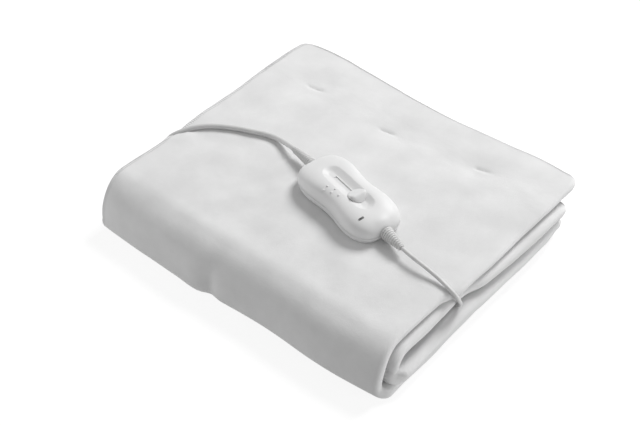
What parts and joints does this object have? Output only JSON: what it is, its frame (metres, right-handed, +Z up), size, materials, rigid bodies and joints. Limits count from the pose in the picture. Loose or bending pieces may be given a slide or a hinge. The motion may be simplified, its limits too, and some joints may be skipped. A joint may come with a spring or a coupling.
{
  "type": "electric underblanket",
  "caption": "Folded fleece underblanket with a slide controller lying on top, a lead into the folds and a mains lead put away as a hank behind it.",
  "frame": {"origin": "on the supporting surface under the middle of the folded stack", "axes": "+X along the folds towards the end with the rounded widthwise fold, +Y from the near fold to the free edge of the cover ply, +Z up"},
  "size_m": [0.4012, 0.3635, 0.0857],
  "materials": {
    "fleece": "brushed white polyester fleece, soft nap",
    "case_plastic": "satin white moulded plastic",
    "lens": "unlit smoked indicator window",
    "relief_vinyl": "soft white vinyl, ribbed",
    "cord_vinyl": "white vinyl sheath, satin",
    "tie_plastic": "white plastic strap",
    "plug_plastic": "white moulded plastic",
    "pin_metal": "nickel-plated brass"
  },
  "bodies": {
    "stack": {"blanket": "fleece", "controller_base": "case_plastic", "controller_top": "case_plastic", "indicator_lens": "lens", "mains_relief": "relief_vinyl", "lead_relief": "relief_vinyl", "mains_lead": "cord_vinyl", "mains_hank": "cord_vinyl", "hank_tie": "tie_plastic", "plug_lead": "cord_vinyl", "plug_body": "plug_plastic", "plug_pin_left": "pin_metal", "plug_pin_right": "pin_metal", "blanket_lead": "cord_vinyl", "lead_entry": "relief_vinyl"},
    "slide": {"slide_knob": "case_plastic"}
  },
  "joints": [
    {"name": "heat_slide", "type": "slide", "parent": "stack", "child": "slide", "axis": [0.9699, -0.2436, 0], "range_m": [-0.033, 0]}
  ]
}
